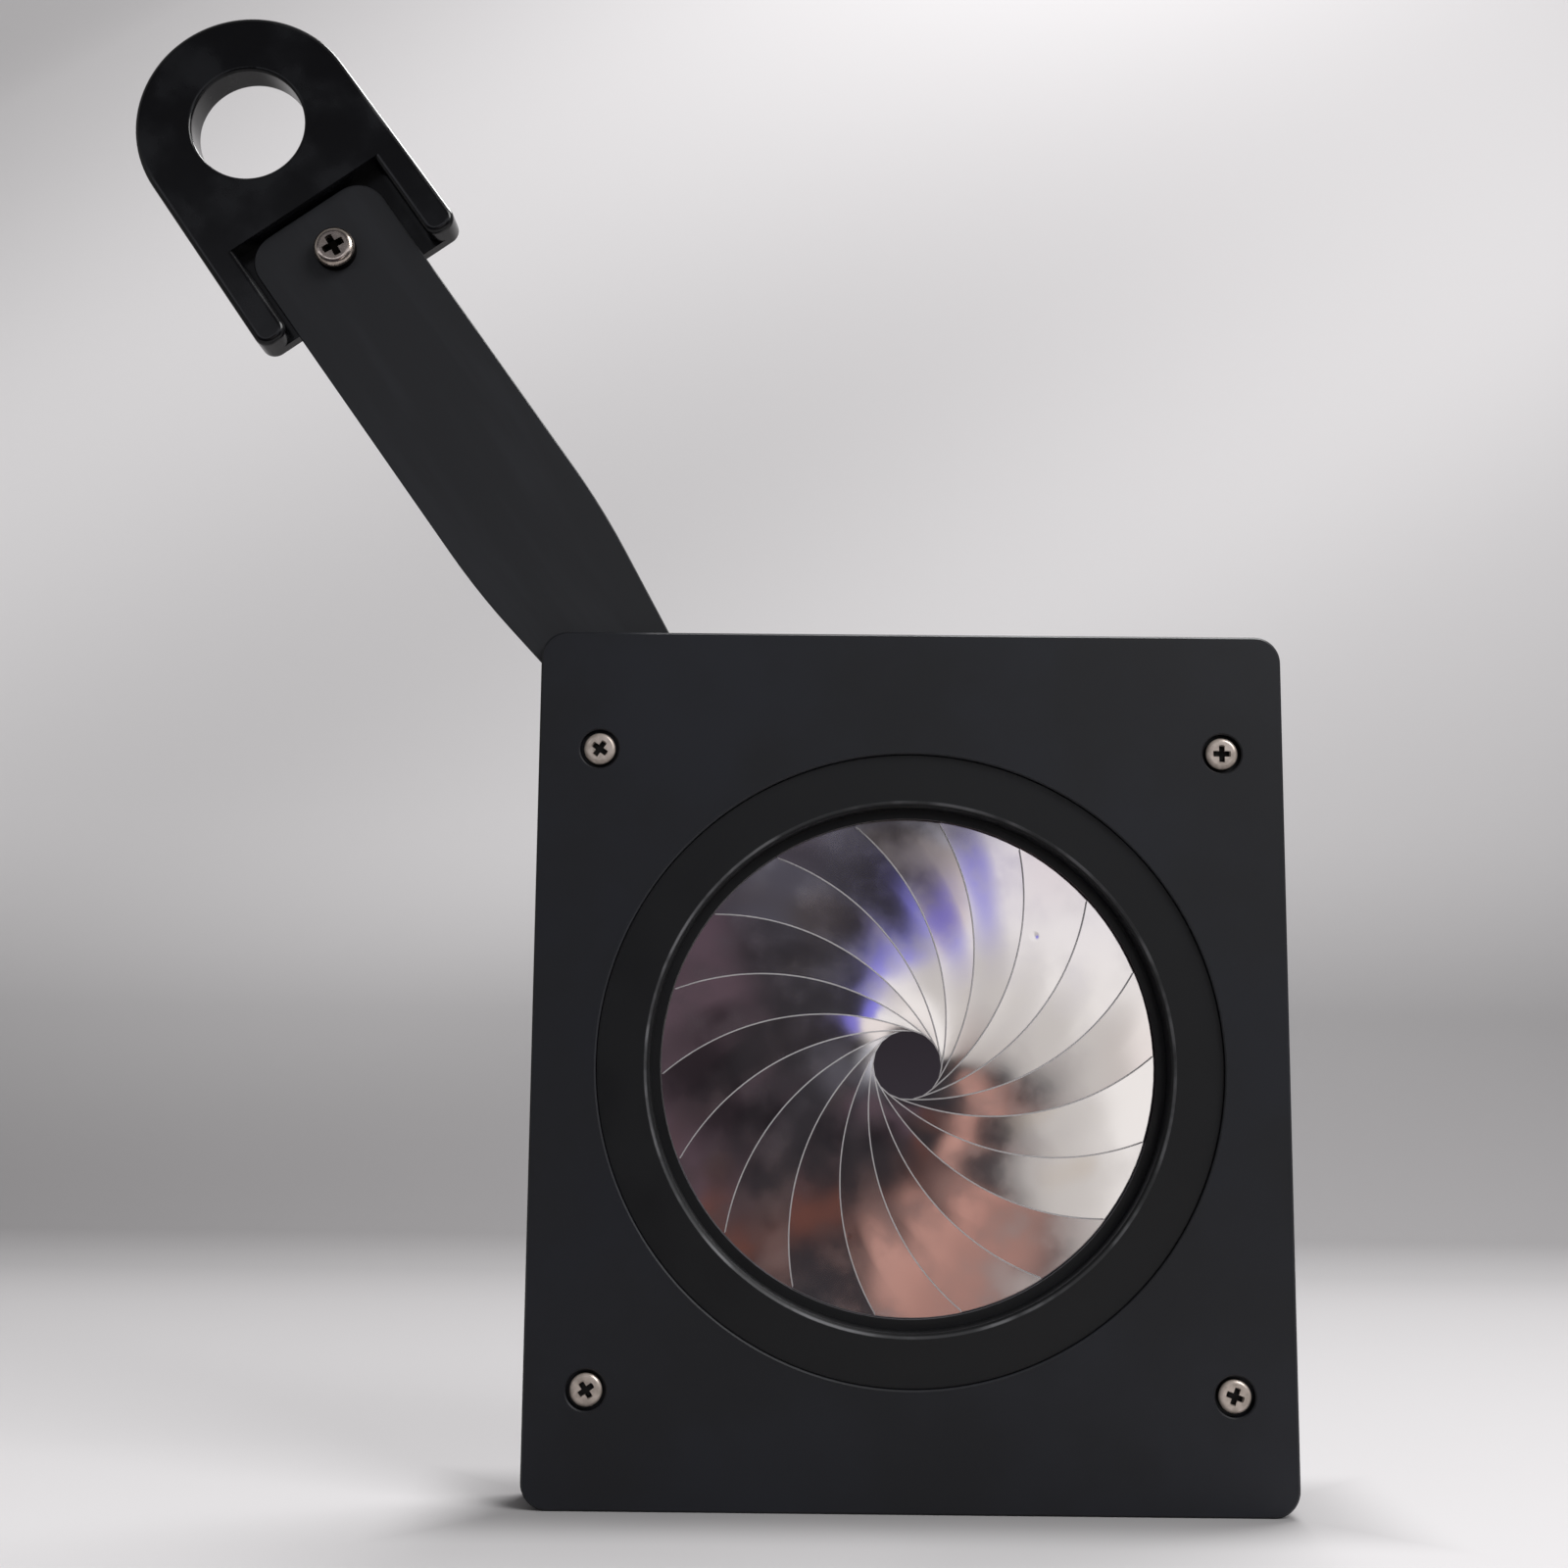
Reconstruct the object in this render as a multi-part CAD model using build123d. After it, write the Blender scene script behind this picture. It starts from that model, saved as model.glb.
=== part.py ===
from build123d import *
import os
from math import asin, atan2, cos, degrees, radians, sin

# Iris diaphragm: eighteen spring-steel leaves between two plates, opened by a drive ring
# and a long lever with a plastic grip. Millimetres. The bench frame has its origin on the
# optical axis at the rear face, x right, y up and z toward the front; write() turns it up.

# Leaves
leaf_count = 18
first_pivot_angle = 79.08
pivot_circle = 62.0
aperture_radius = 6.2
leaf_inner = 46.2
leaf_margin = 1.3
leaf_thickness = 0.1
leaf_lead = 5.0
leaf_gap = 0.3
ear_radius = 2.5
drive_inset = 6.0
stud_radius = 1.0
stud_depth = 1.7

# Drive ring, built up inward from the slots that the leaves' drive studs run in
slot_width = 3.8
slot_play = 0.4
slot_length = 9.4
slot_wall = 2.0
slot_depth = 2.0
slot_lag = 0.24
foot_width = 6.8
foot_gap = 0.2
land_step = 2.15
boss_wall = 9.35
lip_width = 1.8
lip_thickness = 1.2
flange_thickness = 2.8
boss_recess = 1.0
boss_gap = 0.15

# Plates and what holds them apart, placed outward from the ring's clearance
ring_gap = 0.8
side_wall = 1.9
top_margin = 12.7
bottom_margin = 11.4
plate_corner = 4.8
plate_thickness = 3.0
plate_chamfer = 0.4
window_gap = 0.8
screw_inset = 11.2
stop_radius = 2.5
frame_relief = 2.5
slip = 0.2

# Lever arm
arm_angle = 125.6
arm_thickness = 2.0
arm_half_width = 14.35
arm_neck_half = 7.6
arm_offset = 0.95
arm_taper = 53.0
arm_bend = 150.0
arm_corner = 6.0
foot_half_angle = 25.0
foot_screw_angle = 20.0
screw_reach = 124.5
arm_overhang = 9.9

# Grip
heel_overhang = 9.5
heel_corner = 2.7
pocket_gap = 0.6
pocket_side_gap = 0.9
leg_width = 6.4
leg_rise = 2.6
floor_thickness = 2.4
bar_width = 8.8
hole_radius = 11.0
hole_round = 0.7
side_draft = 0.6
grip_round = 1.2
nut_width = 7.0
nut_height = 3.2

# Screws: head radius, head height, shank radius, recess width
cover_screw = (3.0, 1.9, 1.5, 1.05)
grip_pan_screw = (4.0, 2.9, 2.0, 1.4)
pocket_room = 0.6
pocket_sink = 0.1
foot_screw_head = 2.2
foot_screw_shank = 1.0
foot_screw_sink = 1.2

# Sizes that follow from those above
leaf_outer = pivot_circle - leaf_margin
stud_reach = 2 * pivot_circle - drive_inset
slot_inner = stud_reach - pivot_circle - stud_radius - slot_play
slot_outer = slot_inner + slot_length
ring_radius = slot_outer + slot_wall
foot_inner = ring_radius - foot_width
land_radius = foot_inner - foot_gap
boss_radius = land_radius - land_step
ring_bore = boss_radius - boss_wall
ring_lip = ring_bore - lip_width
window_radius = ring_lip + window_gap
ring_clearance = ring_radius + ring_gap
plate_width = 2 * (ring_clearance + side_wall)
plate_top = ring_clearance + top_margin
plate_bottom = -(ring_clearance + bottom_margin)
screw_pitch = plate_width - 2 * screw_inset
arm_full_at = ring_radius + arm_taper
grip_screw_at = ring_radius + screw_reach
arm_end = grip_screw_at + arm_overhang
grip_heel = grip_screw_at - heel_overhang
pocket_end = arm_end + pocket_gap
hole_centre = pocket_end + bar_width + hole_radius
pocket_half_width = arm_half_width + arm_offset + pocket_side_gap
grip_half_width = pocket_half_width + leg_width
grip_end_radius = grip_half_width - side_draft
cover_pocket_radius = cover_screw[0] + pocket_room
cover_pocket_depth = cover_screw[1] + pocket_sink
lean = leaf_inner - aperture_radius
leaf_turn = 2 * degrees(asin(lean / 2 / pivot_circle))
pivot = Vector(pivot_circle, 0)
leaf_centre = pivot + Vector(pivot_circle, 0).rotate(Axis.Z, 180 + leaf_turn)
drive = pivot + Vector(stud_reach, 0).rotate(Axis.Z, 180 + leaf_turn / 2)
drive_angle = degrees(atan2(drive.Y, drive.X)) % 360
leaf_low = plate_thickness + leaf_gap + 0.05
leaf_high = leaf_low + leaf_lead * drive_angle / 360
ring_low = leaf_high + leaf_thickness + leaf_gap + 0.03
flange_top = ring_low + flange_thickness
arm_top = flange_top + arm_thickness
front_low = arm_top + slip
front_face = front_low + plate_thickness
grip_front = arm_top + leg_rise
grip_back = flange_top - floor_thickness
arm_edge_angle = arm_angle + degrees(atan2(arm_neck_half + arm_offset, ring_radius))
frame_top = ring_clearance * sin(radians(arm_edge_angle)) - frame_relief
screw_spots = [
    (x * screw_pitch / 2, y * screw_pitch / 2) for y in (1, -1) for x in (-1, 1)
]
foot_middle = (foot_inner + ring_radius) / 2
foot_angles = [arm_angle + turn for turn in (foot_screw_angle, 0, -foot_screw_angle)]


def disc(radius, low, high, x=0.0, y=0.0):
    """A cylinder along z between two heights."""
    seat = (Align.CENTER, Align.CENTER, Align.MIN)
    return Pos(x, y, low) * Cylinder(radius, high - low, align=seat)


def slab(outline, low, high):
    """A flat outline raised between two heights."""
    return Pos(0, 0, low) * extrude(outline, high - low)


def polar(radius, angle):
    """A point at a radius and angle about the optical axis."""
    return radius * cos(radians(angle)), radius * sin(radians(angle))


def write(name, shape):
    """Stands a finished piece up, front toward -Y, and writes its file."""
    export_step(Rot(90, 0, 0) * shape, f"parts/{name}.step")


def plate_outline():
    """The rounded rectangle all the layers of the housing share."""
    middle = (plate_top + plate_bottom) / 2
    height = plate_top - plate_bottom
    return Pos(0, middle) * RectangleRounded(plate_width, height, plate_corner)


def rear_plate():
    """The back of the housing, with its window and a blind hole for every leaf pivot."""
    body = slab(plate_outline(), 0, plate_thickness)
    body = chamfer(body.faces().sort_by(Axis.Z)[0].edges(), plate_chamfer)
    body -= disc(window_radius, -1, plate_thickness + 1)
    for x, y in screw_spots:
        body -= disc(cover_screw[2], -1, plate_thickness + 1, x, y)
    floor = leaf_low - stud_depth - 0.2
    for k in range(leaf_count):
        x, y = polar(pivot_circle, first_pivot_angle + 360 / leaf_count * k)
        body -= disc(stud_radius + 0.1, floor, plate_thickness + 1, x, y)
    return body


def front_plate():
    """The front of the housing: bearing bore for the ring and four screw pockets."""
    body = slab(plate_outline(), front_low, front_face)
    body = chamfer(body.faces().sort_by(Axis.Z)[-1].edges(), plate_chamfer)
    body -= disc(boss_radius + boss_gap, front_low - 1, front_face + 1)
    floor = front_face - cover_pocket_depth
    for x, y in screw_spots:
        body -= disc(cover_pocket_radius, floor, front_face + 1, x, y)
        body -= disc(cover_screw[2] + 0.1, front_low - 1, front_face + 1, x, y)
    rims = body.faces().sort_by(Axis.Z)[-1].edges().filter_by(GeomType.CIRCLE)
    rims = rims.filter_by(lambda e: e.radius < plate_corner or e.radius > boss_radius)
    pockets = rims.filter_by(lambda e: abs(e.radius - cover_pocket_radius) < 0.01)
    bore = rims.filter_by(lambda e: e.radius > boss_radius)
    return chamfer(pockets + bore, 0.25)


def spacer_frame():
    """The three-sided frame round the leaves, open at the top where the lever swings."""
    height = 2 * (plate_top - plate_bottom)
    below = Pos(0, frame_top - height / 2) * Rectangle(2 * plate_width, height)
    outline = (plate_outline() & below) - Circle(ring_clearance)
    for x, y in screw_spots[2:]:
        outline -= Pos(x, y) * Circle(cover_screw[2] + 0.1)
    return slab(outline, plate_thickness, front_low)


def stop_spacer(x, y):
    """A turned pillar on a top screw: it spaces the plates and stops the lever."""
    body = disc(stop_radius, plate_thickness, front_low, x, y)
    return body - disc(cover_screw[2] + 0.1, 0, front_face, x, y)


def pan_screw(sizes, length):
    """A cross-recessed pan-head screw, its head standing on z = 0."""
    head_radius, head_height, shank_radius, recess = sizes
    head = disc(head_radius, 0, head_height)
    head = fillet(head.faces().sort_by(Axis.Z)[-1].edges(), 0.45 * head_height)
    arm = 1.1 * head_radius
    cross = Box(arm, recess, 2 * head_height) + Box(recess, arm, 2 * head_height)
    depth = 0.62 * head_height
    taper = Cone(0.36 * arm, arm / 2, depth, align=(Align.CENTER, Align.CENTER, Align.MIN))
    head -= cross & (Pos(0, 0, head_height - depth) * taper)
    tip = disc(shank_radius, -length, 0)
    tip = chamfer(tip.faces().sort_by(Axis.Z)[0].edges(), 0.3)
    return head + tip


def leaf_outline():
    """One leaf laid flat, its pivot on the x axis: a curved band with an ear at each end."""
    start = degrees(atan2(pivot.Y - leaf_centre.Y, pivot.X - leaf_centre.X))
    stop = degrees(atan2(drive.Y - leaf_centre.Y, drive.X - leaf_centre.X)) % 360
    spare = degrees(ear_radius / pivot_circle)
    a, b = start - spare, stop + spare
    outer = CenterArc(leaf_centre, leaf_outer, a, b - a)
    inner = CenterArc(leaf_centre, leaf_inner, a, b - a)
    ends = [Line(outer @ 0, inner @ 0), Line(outer @ 1, inner @ 1)]
    band = make_face([outer, inner, *ends])
    corners = band.vertices()
    band = fillet(corners, 2.0)
    for spot in (pivot, drive):
        band += Pos(spot.X, spot.Y) * Circle(ear_radius)
    for spot in (pivot, drive):
        band -= Pos(spot.X, spot.Y) * Circle(stud_radius)
    return band


def leaf():
    """The leaf as it lies in the pack: a slow helicoid that climbs from pivot to drive stud."""
    spare = 6.0
    sweep = drive_angle + 2 * spare
    rise = leaf_lead * sweep / 360
    rails = [Helix(leaf_lead, rise, radius) for radius in (aperture_radius - 2.2, ring_clearance)]
    sheet = Face.make_surface_from_curves(*[rail.edge() for rail in rails])
    start = leaf_low - leaf_lead * spare / 360
    sheet = Rot(0, 0, -spare) * Pos(0, 0, start) * sheet
    thick = Solid.extrude(sheet, Vector(0, 0, leaf_thickness))
    return thick & slab(leaf_outline(), 0, front_low)


def leaf_studs():
    """The two riveted studs: the pivot points backward, the drive stud forward."""
    low = leaf_low + leaf_thickness / 2
    high = leaf_high + leaf_thickness / 2
    rear = disc(stud_radius, low - stud_depth, low, pivot.X, pivot.Y)
    rear = chamfer(rear.faces().sort_by(Axis.Z)[0].edges(), 0.2)
    fore = disc(stud_radius, high, high + stud_depth + 0.3, drive.X, drive.Y)
    fore = chamfer(fore.faces().sort_by(Axis.Z)[-1].edges(), 0.2)
    return rear, fore


def drive_ring():
    """The rotating ring seen round the aperture: flange, thrust land and bearing boss."""
    crown = front_face - boss_recess
    body = disc(ring_radius, ring_low, flange_top) + disc(land_radius, ring_low, arm_top)
    body += disc(boss_radius, ring_low, crown)
    body -= disc(ring_bore, ring_low + lip_thickness, crown + 1)
    body -= disc(ring_lip, ring_low - 1, crown + 1)
    top = body.faces().sort_by(Axis.Z)[-1].edges()
    body = chamfer(top.filter_by(lambda e: e.radius < boss_radius - 1), 0.8)
    length = slot_outer - slot_inner
    middle = (slot_outer + slot_inner) / 2
    cutter = slab(SlotOverall(length, slot_width), ring_low - 1, ring_low + slot_depth)
    first = first_pivot_angle + drive_angle + slot_lag
    for k in range(leaf_count):
        body -= Rot(0, 0, first + 360 / leaf_count * k) * Pos(middle, 0) * cutter
    for angle in foot_angles:
        x, y = polar(foot_middle, angle)
        body -= disc(foot_screw_shank, ring_low + 0.4, flange_top + 1, x, y)
    return body


def arm_outline():
    """The lever blade along +x: curved foot, tapering neck, full-width blade."""
    side = [(foot_inner, arm_neck_half), (ring_radius, arm_neck_half)]
    side += [(arm_full_at, arm_half_width), (arm_end, arm_half_width)]
    other = [(x, -y) for x, y in reversed(side)]
    blade = make_face(Polyline(*side, *other, close=True))
    ends = blade.vertices().filter_by(lambda v: abs(v.X - arm_end) < 0.01)
    blade = fillet(ends, arm_corner)
    bends = blade.vertices().filter_by(lambda v: abs(v.X - arm_full_at) < 0.01)
    blade = Pos(0, arm_offset) * fillet(bends, arm_bend)
    reach = 2 * ring_radius
    wide = foot_half_angle
    wedge = make_face(Polyline((0, 0), polar(reach, -wide), polar(reach, wide), close=True))
    foot = (Circle(ring_radius) - Circle(foot_inner)) & wedge
    return (blade - Circle(foot_inner)) + foot


def lever_arm():
    """The black sheet-metal lever, screwed to the ring by its foot."""
    body = slab(arm_outline(), flange_top, arm_top)
    rim = body.edges().filter_by(Plane.XY).group_by(Axis.Z)[-1]
    body = chamfer(rim.filter_by(lambda e: e.center().X > ring_radius + 1), 0.2)
    body = Rot(0, 0, arm_angle) * body
    for angle in foot_angles:
        x, y = polar(foot_middle, angle)
        body -= disc(foot_screw_shank, 0, front_low, x, y)
        body -= Pos(x, y, arm_top - foot_screw_sink / 2) * countersink()
    x, y = polar(grip_screw_at, arm_angle)
    return body - disc(grip_pan_screw[2] + 0.2, 0, front_face, x, y)


def countersink():
    """The cone of a countersunk head, its middle at z = 0."""
    return Cone(foot_screw_shank, foot_screw_head, foot_screw_sink)


def foot_screw(angle):
    """A countersunk screw through the lever's foot into the ring flange."""
    x, y = polar(foot_middle, angle)
    body = Pos(x, y, arm_top - foot_screw_sink / 2) * countersink()
    body += disc(foot_screw_shank, ring_low + 0.6, arm_top - foot_screw_sink, x, y)
    cut = Box(2 * foot_screw_head, 0.5, 1.0)
    return body - Pos(x, y, arm_top) * Rot(0, 0, angle) * cut


def grip_outline():
    """The grip seen from the front without its pocket: a round end, sides with slight draft."""
    draft = degrees(asin((grip_half_width - grip_end_radius) / (hole_centre - grip_heel)))
    outline = Pos(hole_centre, 0) * Circle(grip_end_radius)
    along, out = polar(grip_end_radius, 90 - draft)
    side = [(grip_heel, grip_half_width), (hole_centre + along, out)]
    other = [(x, -y) for x, y in reversed(side)]
    return outline + make_face(Polyline(*side, *other, close=True))


def grip():
    """The moulded grip: finger hole in a round end, two legs and a floor behind the lever."""
    floor = slab(grip_outline(), grip_back, flange_top)
    upper = slab(grip_outline(), flange_top, grip_front)
    middle = (grip_heel + pocket_end) / 2
    pocket = Rectangle(pocket_end - grip_heel + 2, 2 * pocket_half_width)
    upper -= Pos(middle - 1, 0) * slab(pocket, flange_top, grip_front)
    upper = fillet(at_heel(upper), heel_corner)
    floor = fillet(at_heel(floor), heel_corner)
    body = floor + upper
    rim = body.faces().sort_by(Axis.Z)[-1].edges()
    bar = rim.filter_by(lambda e: abs(e.center().X - pocket_end) < 0.01)
    body = fillet(rim - bar, grip_round)
    body -= disc(hole_radius, grip_back - 1, grip_front + 1, hole_centre, 0)
    hole = body.edges().filter_by(GeomType.CIRCLE)
    hole = hole.filter_by(lambda e: abs(e.radius - hole_radius) < 0.01)
    body = fillet(hole, hole_round)
    body -= disc(grip_pan_screw[2] + 0.2, grip_back - 1, flange_top + 1, grip_screw_at, 0)
    return Rot(0, 0, arm_angle) * body


def at_heel(shape):
    """The upright corners at the end of the grip nearest the ring."""
    upright = shape.edges().filter_by(Axis.Z)
    return upright.filter_by(lambda e: abs(e.center().X - grip_heel) < 0.01)


def grip_nut():
    """The hexagon nut behind the grip's floor, its corners turned down."""
    x, y = polar(grip_screw_at, arm_angle)
    low = grip_back - nut_height
    hexagon = RegularPolygon(nut_width / 2, 6, major_radius=False)
    turned = disc(nut_width / 2 + 0.5, low, grip_back)
    turned = chamfer(turned.faces().sort_by(Axis.Z)[0].edges(), 0.5)
    body = slab(hexagon, low, grip_back) & turned
    body -= disc(grip_pan_screw[2], 0, front_face)
    return Pos(x, y) * Rot(0, 0, arm_angle) * body


os.makedirs("parts", exist_ok=True)
write("rear_plate", rear_plate())
write("front_plate", front_plate())
write("spacer_frame", spacer_frame())
for side, spot in zip(("left", "right"), screw_spots):
    write(f"stop_spacer_{side}", stop_spacer(*spot))
seat = front_face - cover_pocket_depth
screw = pan_screw(cover_screw, seat - 0.3)
for number, (x, y) in enumerate(screw_spots, 1):
    turned = Pos(x, y, seat) * Rot(0, 0, 20 + 35 * number) * screw
    write(f"cover_screw_{number}", turned)
blade = leaf()
rear, fore = leaf_studs()
for number in range(1, leaf_count + 1):
    place = Rot(0, 0, first_pivot_angle + 360 / leaf_count * (number - 1))
    write(f"leaf_{number:02d}", place * blade)
    write(f"leaf_studs_{number:02d}", Compound([place * rear, place * fore]))
write("drive_ring", drive_ring())
write("lever_arm", lever_arm())
for number, angle in enumerate(foot_angles, 1):
    write(f"arm_screw_{number}", foot_screw(angle))
write("grip", grip())
write("grip_nut", grip_nut())
x, y = polar(grip_screw_at, arm_angle)
reach = arm_thickness + floor_thickness + nut_height + 0.4
screw = pan_screw(grip_pan_screw, reach)
write("grip_screw", Pos(x, y, arm_top) * Rot(0, 0, 30) * screw)
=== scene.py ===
import math

import bpy
from mathutils import Matrix, Vector


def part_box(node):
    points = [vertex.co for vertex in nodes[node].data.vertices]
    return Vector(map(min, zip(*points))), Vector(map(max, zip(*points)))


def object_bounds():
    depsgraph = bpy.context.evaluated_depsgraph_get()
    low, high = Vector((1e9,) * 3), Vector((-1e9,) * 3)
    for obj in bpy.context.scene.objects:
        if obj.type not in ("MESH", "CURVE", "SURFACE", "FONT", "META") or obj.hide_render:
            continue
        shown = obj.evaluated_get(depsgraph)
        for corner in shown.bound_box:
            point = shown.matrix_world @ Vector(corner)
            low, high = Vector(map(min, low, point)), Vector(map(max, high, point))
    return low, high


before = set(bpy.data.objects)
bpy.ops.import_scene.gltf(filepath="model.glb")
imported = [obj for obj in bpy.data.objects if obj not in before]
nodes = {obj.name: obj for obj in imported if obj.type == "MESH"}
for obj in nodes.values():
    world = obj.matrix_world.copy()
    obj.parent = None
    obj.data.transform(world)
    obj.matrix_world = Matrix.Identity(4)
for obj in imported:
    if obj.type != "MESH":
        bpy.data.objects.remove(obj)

cad_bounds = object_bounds()
bpy.ops.object.select_all(action="DESELECT")

# Front plate, rear plate and spacer: 3 mm aluminium sheet with rounded corners, blasted and
# anodised black. The etched skin scatters light softly; handling has rubbed it a little
# lighter in broad clouds, and the sharp edge of the ring's bore shows a thread of bare metal.

ANODISE_BLACK = "#111217"
ANODISE_RUBBED = "#171920"
BARE_ALUMINIUM = "#6d6d70"
BLAST_GRAIN = 0.5
HANDLING_CLOUD = 24.0
PLATE_BORE = 57.0
MM = 0.001


def linear(code):
    """A hex sRGB colour as the linear RGBA that shader sockets take."""
    parts = [int(code[i:i + 2], 16) / 255 for i in (1, 3, 5)]
    return (*[p / 12.92 if p <= 0.04045 else ((p + 0.055) / 1.055) ** 2.4 for p in parts], 1.0)


def add_node(tree, kind, settings=None, links=None):
    """Adds a node, sets its properties and sockets, and joins its inputs."""
    node = tree.nodes.new(kind)
    for name, value in (settings or {}).items():
        if isinstance(name, str) and hasattr(node, name):
            setattr(node, name, value)
        else:
            node.inputs[name].default_value = value
    for name, socket in (links or {}).items():
        tree.links.new(socket, node.inputs[name])
    return node


def new_material(name):
    """A node material with its surface shader and output; gives the material, tree and shader."""
    material = bpy.data.materials.new(name)
    material.use_nodes = True
    tree = material.node_tree
    tree.nodes.clear()
    shader = add_node(tree, "ShaderNodeBsdfPrincipled")
    add_node(tree, "ShaderNodeOutputMaterial", links={"Surface": shader.outputs["BSDF"]})
    return material, tree, shader


def object_place(tree):
    """The point being shaded, in metres from the optical axis at the rear face."""
    return add_node(tree, "ShaderNodeTexCoord").outputs["Object"]


def noise(tree, place, size_mm, detail=3.0):
    """Noise whose features are about as wide as a size in millimetres."""
    settings = {"Scale": 1.0 / (size_mm * MM), "Detail": detail}
    return add_node(tree, "ShaderNodeTexNoise", settings, {"Vector": place}).outputs["Fac"]


def maths(tree, operation, first, second=None):
    """One sum of two sockets or numbers."""
    node = add_node(tree, "ShaderNodeMath", {"operation": operation})
    for spot, value in enumerate((first, second)):
        if isinstance(value, (int, float)):
            node.inputs[spot].default_value = value
        elif value is not None:
            tree.links.new(value, node.inputs[spot])
    return node.outputs["Value"]


def ramp(tree, value, low, high, start, stop, kind="SMOOTHSTEP"):
    """Carries a value from one range to another and holds it at both ends."""
    settings = {"interpolation_type": kind, "From Min": low, "From Max": high,
                "To Min": start, "To Max": stop}
    return add_node(tree, "ShaderNodeMapRange", settings, {"Value": value}).outputs["Result"]


def blend(tree, share, first, second):
    """Mixes two colours, each a hex code or a socket."""
    node = add_node(tree, "ShaderNodeMix", {"data_type": "RGBA"}, {0: share})
    for spot, colour in ((6, first), (7, second)):
        if isinstance(colour, str):
            node.inputs[spot].default_value = linear(colour)
        else:
            tree.links.new(colour, node.inputs[spot])
    return node.outputs[2]


def bump(tree, height, depth_mm, normal=None):
    """A bump whose height, from 0 to 1, stands for a depth in millimetres."""
    links = {"Height": height} | ({"Normal": normal} if normal else {})
    return add_node(tree, "ShaderNodeBump", {"Distance": depth_mm * MM}, links).outputs["Normal"]


def from_axis(tree, place):
    """The distance of a point from the optical axis."""
    flat = add_node(tree, "ShaderNodeVectorMath", {"operation": "MULTIPLY", 1: (1, 0, 1)}, {0: place})
    length = add_node(tree, "ShaderNodeVectorMath", {"operation": "LENGTH"}, {0: flat.outputs[0]})
    return length.outputs["Value"]


def dress(names, material):
    """Puts one material on every slot of some CAD nodes."""
    for name in names:
        for slot in nodes[name].material_slots:
            slot.material = material


plate_black, tree, shader = new_material("blasted_black_anodised_aluminium")
place = object_place(tree)
rubbed = ramp(tree, noise(tree, place, HANDLING_CLOUD), 0.35, 0.7, 0.0, 1.0)
skin = blend(tree, rubbed, ANODISE_BLACK, ANODISE_RUBBED)
radius = from_axis(tree, place)
rim = maths(tree, "ABSOLUTE", maths(tree, "SUBTRACT", radius, (PLATE_BORE + 0.12) * MM))
bare = ramp(tree, rim, 0.05 * MM, 0.2 * MM, 0.1, 0.0)
tree.links.new(blend(tree, bare, skin, BARE_ALUMINIUM), shader.inputs["Base Color"])
tree.links.new(ramp(tree, rubbed, 0, 1, 0.52, 0.44), shader.inputs["Roughness"])
grain = noise(tree, place, BLAST_GRAIN)
tree.links.new(bump(tree, grain, 0.006), shader.inputs["Normal"])
shader.inputs["Specular IOR Level"].default_value = 0.4
dress(["front_plate", "rear_plate", "spacer_frame"], plate_black)

# Drive ring: turned from aluminium bar and anodised black like the plates, but the lathe's
# fine grooves are left, so light draws into arcs round the axis. It turns in the front
# plate's bore, and its inner chamfer is rubbed bright where fingers and lenses touch it.

TURNED_BLACK = "#0e0f11"
CHAMFER_GREY = "#77777a"
RING_CHAMFER = 48.1
GROOVE_PITCH = 0.35

ring_black, tree, shader = new_material("turned_black_anodised_aluminium")
place = object_place(tree)
radius = from_axis(tree, place)
rim = maths(tree, "ABSOLUTE", maths(tree, "SUBTRACT", radius, RING_CHAMFER * MM))
worn = maths(tree, "MULTIPLY", ramp(tree, rim, 0.1 * MM, 0.35 * MM, 1.0, 0.0),
             ramp(tree, noise(tree, place, 9.0), 0.4, 0.65, 0.2, 0.8))
tree.links.new(blend(tree, worn, TURNED_BLACK, CHAMFER_GREY), shader.inputs["Base Color"])
grooves = add_node(tree, "ShaderNodeTexNoise",
                   {"noise_dimensions": "1D", "Scale": 1 / (GROOVE_PITCH * MM), "Detail": 2.0},
                   {"W": radius}).outputs["Fac"]
tree.links.new(ramp(tree, noise(tree, place, 14.0), 0.3, 0.7, 0.36, 0.46), shader.inputs["Roughness"])
tree.links.new(bump(tree, grooves, 0.004), shader.inputs["Normal"])
shader.inputs["Specular IOR Level"].default_value = 0.35
dress(["drive_ring"], ring_black)

# Leaves: eighteen blades punched from polished spring steel 0.1 mm thick, each pinned at one
# end and driven at the other, so each lies on the next like a slow spiral stair. They mirror
# the studio: every blade bends a little differently, shows faint waves and small dents, has
# a trace of temper colour and a painted reflection, a violet tint towards the top of the disc,
# and ends in a matt sheared edge.

LEAD = 5.0
LEAF_LOW = 3.4
FIRST_PIVOT = math.radians(79.08)
LEAF_STEP = math.radians(20)
BLADE_CENTRE = (12.90, -37.86)
BLADE_INNER = 46.2
SHEARED_EDGE = 0.17
STEEL = "#dddadb"
PAINTED_VIOLET_REFLECTION = "#9a93bd"
# Painted reflection: the violet laid towards the top of the disc, where the leaves mirror a blue light
# above.
TEMPER_STRAW = "#c4ad8b"
TEMPER_ROSE = "#b9968f"
EDGE_GREY = "#d2cfcf"
BLADE_TILT = 0.012

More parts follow.
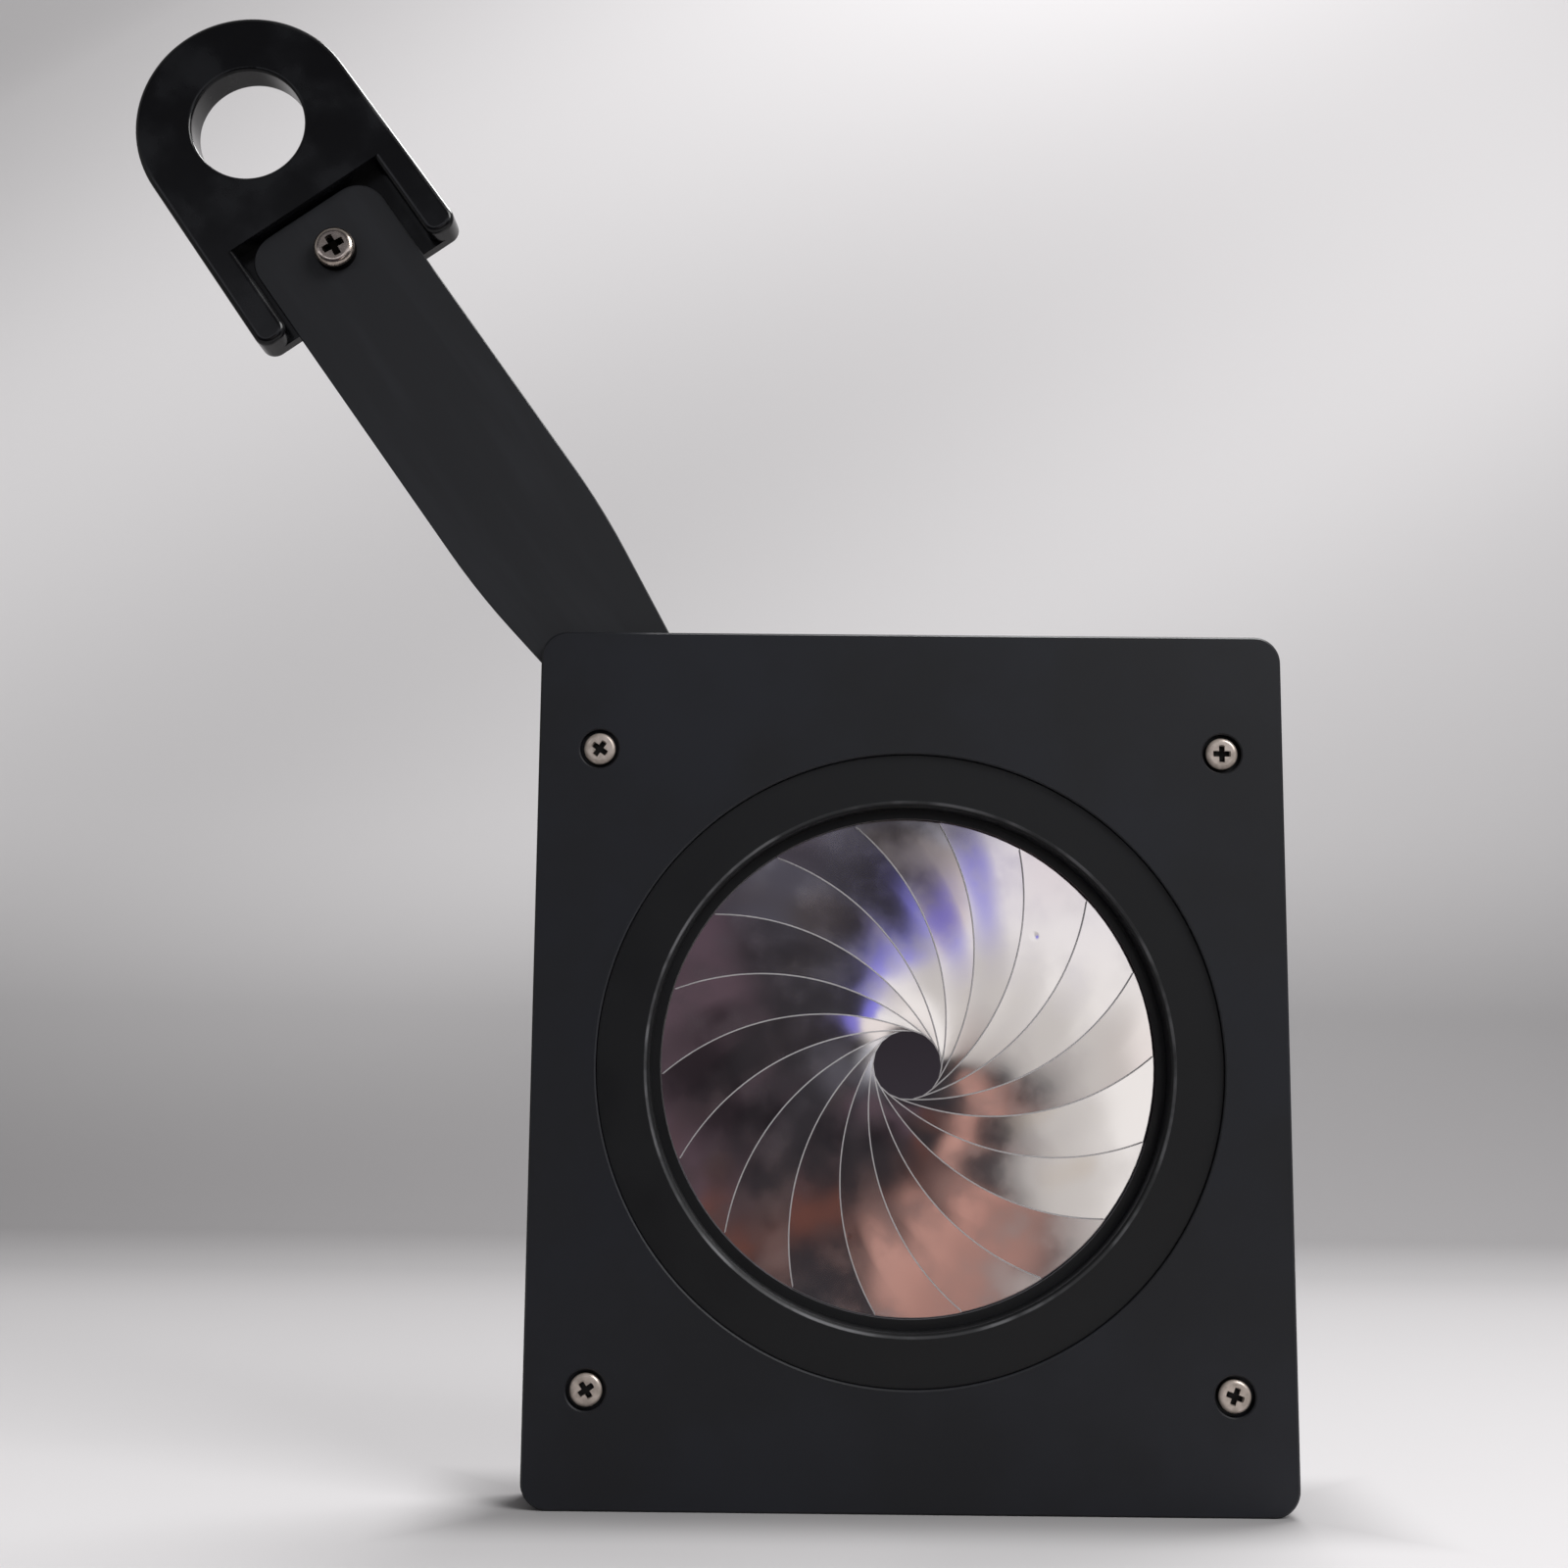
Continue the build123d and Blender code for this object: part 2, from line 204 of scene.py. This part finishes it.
leaf_steel, tree, shader = new_material("polished_spring_steel")
place = object_place(tree)
split = add_node(tree, "ShaderNodeSeparateXYZ", links={"Vector": place})
angle = maths(tree, "ARCTAN2", split.outputs["Z"], split.outputs["X"])
climb = maths(tree, "SUBTRACT", maths(tree, "MULTIPLY", split.outputs["Y"], -1.0), LEAF_LOW * MM)
own = maths(tree, "SUBTRACT", angle, maths(tree, "MULTIPLY", climb, math.tau / (LEAD * MM)))
steps = maths(tree, "DIVIDE", maths(tree, "SUBTRACT", own, FIRST_PIVOT), LEAF_STEP)
blade = maths(tree, "ROUND", steps)
turn = maths(tree, "ADD", maths(tree, "MULTIPLY", blade, LEAF_STEP), FIRST_PIVOT)
flat = add_node(tree, "ShaderNodeVectorRotate", {"rotation_type": "Y_AXIS"},
                {"Vector": place, "Angle": turn}).outputs["Vector"]
centre = (BLADE_CENTRE[0] * MM, 0, BLADE_CENTRE[1] * MM)
flat_from_centre = add_node(tree, "ShaderNodeVectorMath", {"operation": "SUBTRACT", 1: centre},
                            {0: flat}).outputs[0]
edge = maths(tree, "SUBTRACT", from_axis(tree, flat_from_centre), BLADE_INNER * MM)
number = maths(tree, "FLOORED_MODULO", blade, 18.0)
chance = add_node(tree, "ShaderNodeTexWhiteNoise", {"noise_dimensions": "1D"}, {"W": number})
spread = add_node(tree, "ShaderNodeVectorMath",
                  {"operation": "SUBTRACT", 1: (0.5, 0.5, 0.5)}, {0: chance.outputs["Color"]})
tilt = add_node(tree, "ShaderNodeVectorMath",
                {"operation": "MULTIPLY", 1: (2 * BLADE_TILT, 0, 2 * BLADE_TILT)}, {0: spread.outputs[0]})
tilt = add_node(tree, "ShaderNodeVectorTransform", {"convert_from": "OBJECT", "convert_to": "WORLD"},
                {0: tilt.outputs[0]})
facing = add_node(tree, "ShaderNodeNewGeometry").outputs["Normal"]
leaning = add_node(tree, "ShaderNodeVectorMath", links={0: facing, 1: tilt.outputs[0]})
leaning = add_node(tree, "ShaderNodeVectorMath", {"operation": "NORMALIZE"}, {0: leaning.outputs[0]})
shifted = add_node(tree, "ShaderNodeVectorMath", links={0: flat, 1: spread.outputs[0]}).outputs[0]
waves = bump(tree, noise(tree, shifted, 34.0, 1.0), 0.18, leaning.outputs[0])
curl = bump(tree, ramp(tree, edge, 0.0, 7 * MM, 0.0, 1.0), 0.04, waves)
cells = add_node(tree, "ShaderNodeTexVoronoi", {"Scale": 1 / (15 * MM)}, {"Vector": shifted})
dents = bump(tree, ramp(tree, cells.outputs["Distance"], 0.0, 0.07, 0.0, 1.0), 0.02, curl)
tree.links.new(dents, shader.inputs["Normal"])
temper_and_reflection = blend(tree, ramp(tree, noise(tree, shifted, 44.0, 1.0), 0.45, 0.7, 0.0, 0.2), STEEL, TEMPER_ROSE)
# Painted reflection: a violet tint grows towards the top of the disc, standing in for a mirrored blue light.
height = ramp(tree, split.outputs["Z"], 8 * MM, 40 * MM, 0.0, 0.2)
temper_and_reflection = blend(tree, height, temper_and_reflection, PAINTED_VIOLET_REFLECTION)
straw = ramp(tree, noise(tree, shifted, 21.0, 1.0), 0.62, 0.75, 0.0, 0.4)
temper_and_reflection = blend(tree, straw, temper_and_reflection, TEMPER_STRAW)
sheared = ramp(tree, edge, SHEARED_EDGE * MM, (SHEARED_EDGE + 0.08) * MM, 1.0, 0.0)
tree.links.new(blend(tree, sheared, temper_and_reflection, EDGE_GREY), shader.inputs["Base Color"])
smear = ramp(tree, noise(tree, shifted, 9.0, 5.0), 0.35, 0.75, 0.07, 0.15)
tree.links.new(maths(tree, "ADD", smear, maths(tree, "MULTIPLY", sheared, 0.5)),
               shader.inputs["Roughness"])
shader.inputs["Metallic"].default_value = 1.0
dress([name for name in nodes if name.startswith("leaf_")], leaf_steel)

# Leaf studs and stop pillars: small turned pins of bright steel, riveted into the leaves and
# clamped between the plates. Only their ends show, with the fine rings a lathe tool leaves.

TURNED_STEEL = "#9b9a9c"

turned_steel, tree, shader = new_material("turned_bright_steel")
place = object_place(tree)
streaks = noise(tree, place, 0.6, 2.0)
tree.links.new(blend(tree, streaks, TURNED_STEEL, "#808084"), shader.inputs["Base Color"])
tree.links.new(ramp(tree, streaks, 0.3, 0.7, 0.24, 0.36), shader.inputs["Roughness"])
shader.inputs["Metallic"].default_value = 1.0
dress([name for name in nodes if name.startswith(("leaf_studs", "stop_spacer"))], turned_steel)

# Screws: cross-recessed pan heads in nickel-plated steel, four sunk in the front plate's
# corners and a larger one holding the grip. The plating is warm and slightly hazed, and the
# driver recess is painted dark below a given depth, a painted shade for its deep hollow.

NICKEL = "#cdc0b6"
NICKEL_HAZED = "#ab9f95"
PAINTED_RECESS_SHADE = "#171412"


def plated_screw(name, node, shaded_below_mm, shine, haziness):
    """Nickel for one kind of screw, with painted shade in the recess a given depth under its head."""
    material, tree, shader = new_material(name)
    place = object_place(tree)
    haze = ramp(tree, noise(tree, place, 1.6, 4.0), 0.35, 0.7, 0.0, 1.0)
    top = -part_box(node)[0][1]
    depth = maths(tree, "ADD", add_node(tree, "ShaderNodeSeparateXYZ", links={0: place}).outputs["Y"], top)
    # Painted shade: the recess is darkened and roughened below a given depth under the head.
    recess_shade = ramp(tree, depth, shaded_below_mm * MM, (shaded_below_mm + 0.25) * MM, 0.0, 1.0)
    plating = blend(tree, haze, NICKEL, NICKEL_HAZED)
    tree.links.new(blend(tree, recess_shade, plating, PAINTED_RECESS_SHADE), shader.inputs["Base Color"])
    clouded = ramp(tree, haze, 0, 1, haziness, haziness + 0.12)
    rough = maths(tree, "ADD", clouded, maths(tree, "MULTIPLY", recess_shade, 0.3))
    tree.links.new(rough, shader.inputs["Roughness"])
    tree.links.new(bump(tree, noise(tree, place, 0.25), 0.003), shader.inputs["Normal"])
    shader.inputs["Metallic"].default_value = shine
    return material


dress([f"cover_screw_{k}" for k in (1, 2, 3, 4)],
      plated_screw("nickel_plated_m3", "cover_screw_1", 0.35, 0.45, 0.3))
dress(["grip_screw"], plated_screw("nickel_plated_m4", "grip_screw", 0.9, 1.0, 0.16))

# Nut and lever screws: the nut behind the grip is zinc-plated, with the cloudy spangle that
# plating has, and the three countersunk screws under the front plate are blackened steel.

ZINC = "#a9abae"
ZINC_CLOUD = "#8b8e93"
BLACK_OXIDE = "#1d1d20"

zinc, tree, shader = new_material("zinc_plated_steel")
cloud = noise(tree, object_place(tree), 1.2, 4.0)
tree.links.new(blend(tree, cloud, ZINC, ZINC_CLOUD), shader.inputs["Base Color"])
tree.links.new(ramp(tree, cloud, 0.3, 0.7, 0.3, 0.45), shader.inputs["Roughness"])
shader.inputs["Metallic"].default_value = 1.0
dress(["grip_nut"], zinc)

oxide, tree, shader = new_material("blackened_steel")
cloud = noise(tree, object_place(tree), 0.8, 4.0)
tree.links.new(blend(tree, cloud, BLACK_OXIDE, "#2a2a2e"), shader.inputs["Base Color"])
tree.links.new(ramp(tree, cloud, 0.3, 0.7, 0.35, 0.5), shader.inputs["Roughness"])
shader.inputs["Metallic"].default_value = 0.6
dress([f"arm_screw_{k}" for k in (1, 2, 3)], oxide)

# Lever arm: 2 mm steel sheet, punched, deburred and powder-coated matt black. The coat has
# a very fine orange peel, and long soft rubs run along the blade from gripping it.

COAT_BLACK = "#15161a"
COAT_RUBBED = "#1d1e22"
ORANGE_PEEL = 1.1
ARM_ANGLE = math.radians(125.6)

coat, tree, shader = new_material("matt_black_powder_coat")
place = object_place(tree)
along = add_node(tree, "ShaderNodeVectorRotate", {"rotation_type": "Y_AXIS", "Angle": ARM_ANGLE},
                 {"Vector": place}).outputs["Vector"]
drawn = add_node(tree, "ShaderNodeVectorMath", {"operation": "MULTIPLY", 1: (0.12, 1, 1)}, {0: along})
rubs = ramp(tree, noise(tree, drawn.outputs[0], 5.0, 4.0), 0.4, 0.75, 0.0, 1.0)
tree.links.new(blend(tree, rubs, COAT_BLACK, COAT_RUBBED), shader.inputs["Base Color"])
tree.links.new(ramp(tree, rubs, 0, 1, 0.56, 0.46), shader.inputs["Roughness"])
tree.links.new(bump(tree, noise(tree, place, ORANGE_PEEL), 0.01), shader.inputs["Normal"])
dress(["lever_arm"], coat)

# Grip: one glossy black ABS moulding with a finger hole. Its polish is deep where the mould
# was polished, softened by fine swirls and fingerprints, with rounded glinting edges.

ABS_BLACK = "#08080a"
ABS_SMEARED = "#101114"

abs_black, tree, shader = new_material("glossy_black_abs")
place = object_place(tree)
smear = ramp(tree, noise(tree, place, 12.0, 5.0), 0.4, 0.75, 0.0, 1.0)
tree.links.new(blend(tree, smear, ABS_BLACK, ABS_SMEARED), shader.inputs["Base Color"])
tree.links.new(ramp(tree, smear, 0, 1, 0.2, 0.34), shader.inputs["Roughness"])
tree.links.new(bump(tree, noise(tree, place, 6.0, 2.0), 0.02), shader.inputs["Normal"])
shader.inputs["Specular IOR Level"].default_value = 0.4
dress(["grip"], abs_black)

# Studio sweep: one pale sheet of matt paper board, flat under the object and curved up behind,
# with painted shade making it darker towards the back and up the wall. Its faint glow is seen by
# the camera, and on the wall by mirrors too, and is left out beside the object, so the lamps' shadow
# stays and a painted shadow also darkens the floor all round it. A dark disc painted on the wall as
# painted shade keeps the small aperture black.

FLOOR_Z = cad_bounds[0][2]
FLOOR_FRONT = -0.22
SWEEP_WIDTH = 16.0
WALL_Y = 0.60
WALL_HEIGHT = 4.0
CURVE = 0.10
PAPER = "#b0aeaf"
PAPER_SHADED_BACK = "#8f8d8e"
PAINTED_APERTURE_SHADE = "#2c272d"
APERTURE_SHADOW = (0.0347, -0.0046)
SHADE_DISC_RADIUS = 0.0215
SHADOW_REACH = 0.025
FLOOR_GLOW = 0.28
BAND_SLOPE = (0.53, -0.85)
BAND_START = -0.70
BANDS = ((0.05, 0.20), (0.21, 0.56), (0.40, 0.20), (0.55, 0.45), (0.66, 0.28), (0.78, 0.24), (0.93, 0.08))


def flat_board(name, width, depth, centre, tip=0.0):
    """A flat sheet of a width and depth, tipped about X and moved so its middle is at a point."""
    bpy.ops.mesh.primitive_plane_add(size=1.0)
    thing = bpy.context.object
    thing.name = name
    bpy.ops.object.mode_set(mode="EDIT")
    bpy.ops.mesh.select_all(action="SELECT")
    bpy.ops.transform.resize(value=(width, depth, 1.0), center_override=(0, 0, 0))
    if tip:
        bpy.ops.transform.rotate(value=tip, orient_axis="X", center_override=(0, 0, 0))
    bpy.ops.transform.translate(value=centre)
    bpy.ops.object.mode_set(mode="OBJECT")
    return thing


def unseen_by(thing, kinds):
    """Hides an object from some kinds of ray."""
    for kind in kinds:
        setattr(thing, f"visible_{kind}", False)


floor_middle = (0, (WALL_Y + FLOOR_FRONT) / 2, FLOOR_Z)
sweep = flat_board("studio_sweep", SWEEP_WIDTH, WALL_Y - FLOOR_FRONT, floor_middle)
bpy.ops.object.mode_set(mode="EDIT")
bpy.ops.mesh.select_mode(type="EDGE")
bpy.ops.mesh.select_all(action="DESELECT")
bpy.ops.object.mode_set(mode="OBJECT")
for line in sweep.data.edges:
    line.select = all(sweep.data.vertices[v].co.y > WALL_Y - 0.001 for v in line.vertices)
bpy.ops.object.mode_set(mode="EDIT")
bpy.ops.mesh.extrude_region_move(TRANSFORM_OT_translate={"value": (0, 0, WALL_HEIGHT)})
bpy.ops.mesh.select_all(action="DESELECT")
bpy.ops.object.mode_set(mode="OBJECT")
for line in sweep.data.edges:
    ends = [sweep.data.vertices[v].co for v in line.vertices]
    line.select = all(end.y > WALL_Y - 0.001 and end.z < FLOOR_Z + 0.001 for end in ends)
bpy.ops.object.mode_set(mode="EDIT")
bpy.ops.mesh.bevel(offset=CURVE, segments=24)
bpy.ops.object.mode_set(mode="OBJECT")
bpy.ops.object.shade_smooth()

paper, tree, shader = new_material("matt_paper_board")
place = object_place(tree)
split = add_node(tree, "ShaderNodeSeparateXYZ", links={"Vector": place})
# Painted shade: the board's colour turns darker towards the back and up the wall.
board = blend(tree, ramp(tree, split.outputs["Y"], 0.25, WALL_Y, 0.0, 1.0), PAPER, PAPER_SHADED_BACK)
# Painted shade: a dark disc on the wall, without glow, where the camera looks through the aperture.
spot = (APERTURE_SHADOW[0], 0, APERTURE_SHADOW[1])
from_spot = add_node(tree, "ShaderNodeVectorMath", {"operation": "SUBTRACT", 1: spot}, {0: place})
aperture_shade_disc = ramp(tree, from_axis(tree, from_spot.outputs[0]), 0.85 * SHADE_DISC_RADIUS, SHADE_DISC_RADIUS, 1.0, 0.0)
aperture_shade_disc = maths(tree, "MULTIPLY", aperture_shade_disc, maths(tree, "GREATER_THAN", split.outputs["Y"], WALL_Y - CURVE))
tree.links.new(blend(tree, aperture_shade_disc, board, PAINTED_APERTURE_SHADE), shader.inputs["Base Color"])
shader.inputs["Roughness"].default_value = 0.9
shader.inputs["Specular IOR Level"].default_value = 0.1
across = maths(tree, "ADD", maths(tree, "MULTIPLY", split.outputs["X"], BAND_SLOPE[0]),
               maths(tree, "MULTIPLY", split.outputs["Z"], BAND_SLOPE[1]))
bands = add_node(tree, "ShaderNodeValToRGB", links={"Fac": maths(tree, "SUBTRACT", across, BAND_START)})
stops = bands.color_ramp
stops.interpolation = "B_SPLINE"
for count, (where, level) in enumerate(BANDS):
    stop = stops.elements[count] if count < 2 else stops.elements.new(where)
    stop.position, stop.color = where, (level, level, level, 1.0)
lift = ramp(tree, split.outputs["Z"], FLOOR_Z, FLOOR_Z + 0.2, 0.0, 1.0)
wall_glow = maths(tree, "MULTIPLY", bands.outputs["Color"], lift)
floor_glow = ramp(tree, split.outputs["Y"], 0.36, -0.06, 0.0, FLOOR_GLOW, "LINEAR")
ray = add_node(tree, "ShaderNodeLightPath")
seen = maths(tree, "MAXIMUM", ray.outputs["Is Camera Ray"], ray.outputs["Is Glossy Ray"])
floor_glow = maths(tree, "MULTIPLY", floor_glow, ray.outputs["Is Camera Ray"])
# Partly painted shadow: the floor glow is left out beside the object, so the floor is darker all round it,
# also where no lamp's shadow falls.
beside = maths(tree, "SUBTRACT", maths(tree, "ABSOLUTE", split.outputs["X"]), cad_bounds[1][0])
depth = maths(tree, "ABSOLUTE", maths(tree, "SUBTRACT", split.outputs["Y"], cad_bounds[0][1] / 2))
before = maths(tree, "ADD", depth, cad_bounds[0][1] / 2)
clear = ramp(tree, maths(tree, "MAXIMUM", beside, before), 0.0, SHADOW_REACH, 0.0, 1.0)
floor_glow = maths(tree, "MULTIPLY", floor_glow, clear)
glow = maths(tree, "ADD", wall_glow, maths(tree, "MULTIPLY", floor_glow, maths(tree, "SUBTRACT", 1.0, lift)))
glow = maths(tree, "MULTIPLY", glow, maths(tree, "SUBTRACT", 1.0, aperture_shade_disc))
tree.links.new(maths(tree, "MULTIPLY", glow, seen), shader.inputs["Emission Strength"])
shader.inputs["Emission Color"].default_value = linear("#fffdfe")
sweep.data.materials.append(paper)

# Floor apron: more of the same paper board, laid on from the sweep's front edge toward the
# viewer. Only the camera sees it, so the mirror-bright leaves keep their dark lower half.

APRON_DEPTH = 8.0

apron = flat_board("floor_apron", SWEEP_WIDTH, APRON_DEPTH, (0, FLOOR_FRONT - APRON_DEPTH / 2, FLOOR_Z))
apron.data.materials.append(paper)
unseen_by(apron, ("glossy", "diffuse", "shadow", "transmission", "volume_scatter"))

# Room card: what the polished leaves mirror, a large board behind the viewer that only mirrors
# see. It carries broad soft shapes of a working studio: a bright diffuser on the right, dark
# room on the left, coloured things between them, and a pale ceiling above.

CARD_Y = -1.2
CARD_WIDTH = 4.0
CARD_HEIGHT = 3.0
CARD_MIDDLE = 0.6
CARD_GLOW = 1.2
ROOM_DARK = "#3a383c"
ROOM_DARKER = "#2b292c"
CEILING = "#e9ebf3"
PATCHES = {
    "mauve_wall": ("#6f5a64", 0.6, (-40.0, 0.0), (0.055, 0.15)),
    "slate_curtain": ("#5c5a62", 0.7, (-22.0, 33.0), (0.085, 0.055)),
    "sleeve": ("#7a4c40", 0.7, (-20.0, -28.0), (0.06, 0.03)),
    "doorway": ("#19171a", 0.9, (-9.0, -13.0), (0.045, 0.05)),
    "diffuser": ("#fbf8f4", 1.0, (40.0, 4.0), (0.11, 0.40)),
    "bounce_board": ("#bdb8b3", 0.75, (21.0, 5.0), (0.045, 0.16)),
    "blue_gel": ("#7d78ea", 0.9, (4.0, 27.0), (0.028, 0.07)),
    "hand": ("#d3a396", 0.9, (10.0, -19.0), (0.030, 0.080)),
    "wrist": ("#bd9084", 0.8, (11.0, -37.0), (0.050, 0.050)),
}
VIEW_AT = (-0.0211, -0.3730, 0.0028)


def mirrored(spot_mm):
    """Where on the card a leaf at a spot of the disc mirrors the camera's view to."""
    x, z = spot_mm
    reach = (CARD_Y + VIEW_AT[1]) / VIEW_AT[1]
    away = math.hypot(x, z)
    lean = 2 * LEAD / (math.tau * away) * abs(CARD_Y)
    card_x = VIEW_AT[0] + (x * MM - VIEW_AT[0]) * reach + lean * z / away
    card_z = VIEW_AT[2] + (z * MM - VIEW_AT[2]) * reach - lean * x / away
    return card_x, 0.0, card_z


card = flat_board("room_card", CARD_WIDTH, CARD_HEIGHT, (0, CARD_Y, CARD_MIDDLE), math.pi / 2)
glow, tree, shader = new_material("room_card_patches")
place = object_place(tree)
warp = add_node(tree, "ShaderNodeTexNoise", {"Scale": 5.0, "Detail": 1.0}, {"Vector": place})
warp = add_node(tree, "ShaderNodeVectorMath", {"operation": "MULTIPLY_ADD", 1: (0.10, 0, 0.10),
                                               2: (-0.05, 0, -0.05)}, {0: warp.outputs["Color"]})
bent = add_node(tree, "ShaderNodeVectorMath", links={0: place, 1: warp.outputs[0]}).outputs[0]
room = blend(tree, noise(tree, bent, 180.0, 1.0), ROOM_DARK, ROOM_DARKER)
for colour, share, spot, size in PATCHES.values():
    offset = add_node(tree, "ShaderNodeVectorMath", {"operation": "SUBTRACT", 1: mirrored(spot)}, {0: bent})
    scaled = add_node(tree, "ShaderNodeVectorMath",
                      {"operation": "MULTIPLY", 1: (1 / size[0], 0, 1 / size[1])}, {0: offset.outputs[0]})
    reach = from_axis(tree, scaled.outputs[0])
    room = blend(tree, ramp(tree, reach, 0.6, 1.2, share, 0.0), room, colour)
up = add_node(tree, "ShaderNodeSeparateXYZ", links={0: place}).outputs["Z"]
high = maths(tree, "MULTIPLY", ramp(tree, up, 0.18, 0.36, 0.0, 1.0), ramp(tree, up, 0.42, 0.66, 1.0, 0.05))
room = blend(tree, high, room, CEILING)
shader.inputs["Base Color"].default_value = (0, 0, 0, 1)
shader.inputs["Specular IOR Level"].default_value = 0.0
tree.links.new(room, shader.inputs["Emission Color"])
shader.inputs["Emission Strength"].default_value = CARD_GLOW
card.data.materials.append(glow)
unseen_by(card, ("camera", "diffuse", "shadow", "transmission", "volume_scatter"))

# Lamps and camera: a broad soft lamp high on the right models the black parts and throws the
# shadow to the left, one high behind draws a soft shadow forward, and the world fills the rest.


def soft_lamp(name, at, towards, width, height, watts):
    """A soft rectangular lamp aimed at a point."""
    lamp = bpy.data.lights.new(name, "AREA")
    lamp.shape = "RECTANGLE"
    lamp.size = width
    lamp.size_y = height
    lamp.energy = watts
    thing = bpy.data.objects.new(name, lamp)
    bpy.context.scene.collection.objects.link(thing)
    aim = Vector(towards) - Vector(at)
    thing.matrix_world = Matrix.Translation(at) @ aim.to_track_quat("-Z", "Y").to_matrix().to_4x4()


KEY_WATTS = 14.0
BACK_WATTS = 9.0
soft_lamp("key", (0.85, -0.75, 0.95), (0, 0, 0), 0.7, 0.8, KEY_WATTS)
soft_lamp("back", (0.25, 0.32, 0.9), (0, -0.05, 0), 0.5, 0.3, BACK_WATTS)

FILL_LEVEL = 0.35
SEEN_LEVEL = 0.8
world = bpy.data.worlds.new("studio")
bpy.context.scene.world = world
world.use_nodes = True
tree = world.node_tree
air = tree.nodes["Background"]
air.inputs["Color"].default_value = (0.8, 0.8, 0.8, 1)
shown = add_node(tree, "ShaderNodeLightPath").outputs["Is Camera Ray"]
tree.links.new(ramp(tree, shown, 0, 1, FILL_LEVEL, SEEN_LEVEL, "LINEAR"), air.inputs["Strength"])

VIEW_YAW = -0.0062
VIEW_PITCH = 0.1342
VIEW_ROLL = 0.0094
LENS_MM = 45.0
camera = bpy.data.cameras.new("camera")
camera.sensor_width = 36.0
camera.lens = LENS_MM
camera.clip_start = 0.01
eye = bpy.data.objects.new("camera", camera)
bpy.context.scene.collection.objects.link(eye)
turn = Matrix.Rotation(-VIEW_YAW, 4, "Z") @ Matrix.Rotation(math.pi / 2 + VIEW_PITCH, 4, "X")
eye.matrix_world = Matrix.Translation(VIEW_AT) @ turn @ Matrix.Rotation(VIEW_ROLL, 4, "Z")
bpy.context.scene.camera = eye
bpy.context.scene.view_settings.view_transform = "Standard"
